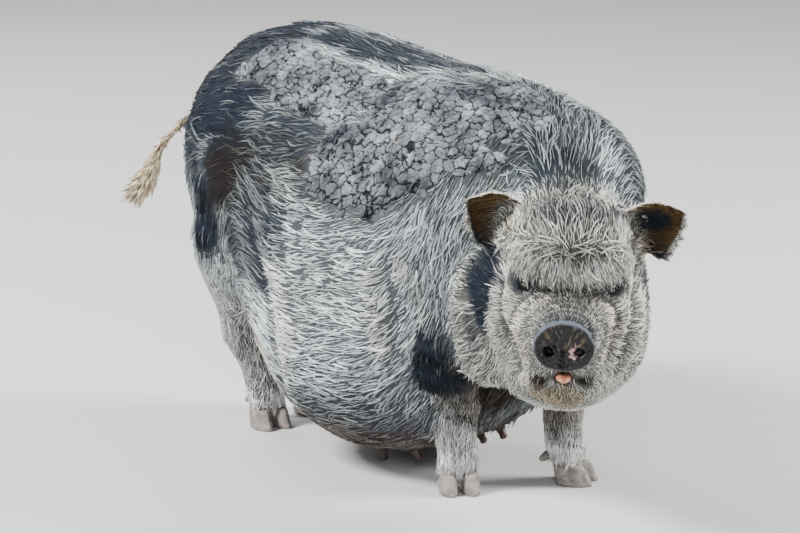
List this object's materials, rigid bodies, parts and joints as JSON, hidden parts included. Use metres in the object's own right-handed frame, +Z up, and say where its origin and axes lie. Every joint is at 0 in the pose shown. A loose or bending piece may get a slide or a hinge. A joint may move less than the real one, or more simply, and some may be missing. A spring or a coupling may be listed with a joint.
{
  "type": "pot-bellied pig",
  "caption": "Life-size still model of a stout grey pot-bellied sow, standing on short legs with her heavy belly near the floor and her head turned to her right.",
  "frame": {"origin": "centre of the bounding box in plan, on the floor plane under the hooves", "axes": "-Y the way the body faces, +X her left, +Z up; the head is turned about 45 degrees from -Y towards -X"},
  "size_m": [0.417, 0.9802, 0.5772],
  "materials": {
    "grey_hide": "slate-grey skin under silvery bristles, with a dry pale crust of mud on the back",
    "pale_hide": "pale skin under white bristles",
    "ear_hide": "brown skin with a thin pale fringe",
    "snout_hide": "moist charcoal skin with fine wrinkles",
    "hoof_horn": "worn pinkish-grey horn",
    "eye": "wet dark brown",
    "tongue": "moist pink"
  },
  "bodies": {
    "root": {"trunk": "grey_hide", "neck": "grey_hide", "head": "grey_hide", "ear_left": "ear_hide", "ear_right": "ear_hide", "snout": "snout_hide", "eye_left": "eye", "eye_right": "eye", "tongue": "tongue", "tail": "pale_hide", "leg_front_left": "pale_hide", "leg_front_right": "pale_hide", "leg_hind_left": "pale_hide", "leg_hind_right": "pale_hide", "hoof_front_left_outer": "hoof_horn", "hoof_front_left_inner": "hoof_horn", "hoof_front_right_outer": "hoof_horn", "hoof_front_right_inner": "hoof_horn", "hoof_hind_left_outer": "hoof_horn", "hoof_hind_left_inner": "hoof_horn", "hoof_hind_right_outer": "hoof_horn", "hoof_hind_right_inner": "hoof_horn", "dewclaw_front_left_outer": "hoof_horn", "dewclaw_front_left_inner": "hoof_horn", "dewclaw_front_right_outer": "hoof_horn", "dewclaw_front_right_inner": "hoof_horn", "dewclaw_hind_left_outer": "hoof_horn", "dewclaw_hind_left_inner": "hoof_horn", "dewclaw_hind_right_outer": "hoof_horn", "dewclaw_hind_right_inner": "hoof_horn"}
  },
  "joints": []
}
